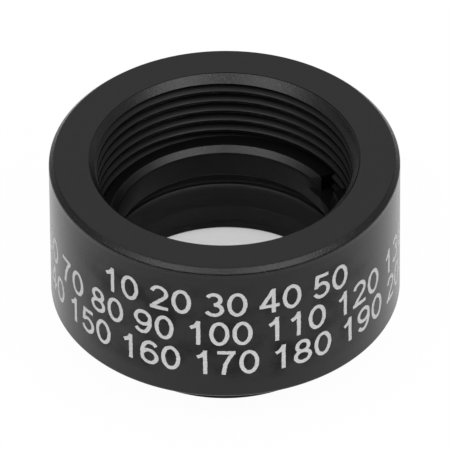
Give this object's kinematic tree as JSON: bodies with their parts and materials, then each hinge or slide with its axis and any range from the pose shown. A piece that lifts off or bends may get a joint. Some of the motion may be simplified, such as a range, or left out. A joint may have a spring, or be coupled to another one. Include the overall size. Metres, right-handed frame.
{
  "type": "mounted plano-convex lens",
  "caption": "Round lens held in a short black threaded cell by a slotted retaining ring, with a male threaded stub underneath.",
  "frame": {"origin": "where the optical axis meets the plane of the male end, on which the cell stands", "axes": "+Z along the optical axis, out of the threaded mouth; the first spanner slot of the ring lies 27 degrees from +X towards +Y"},
  "size_m": [0.0178, 0.0178, 0.0106],
  "materials": {
    "housing_anodised": "black anodised, fine turned",
    "lens_glass": "polished, with an antireflection coating",
    "ring_anodised": "black anodised, matte"
  },
  "bodies": {
    "root": {"housing": "housing_anodised", "lens": "lens_glass", "retaining_ring": "ring_anodised"}
  },
  "joints": []
}
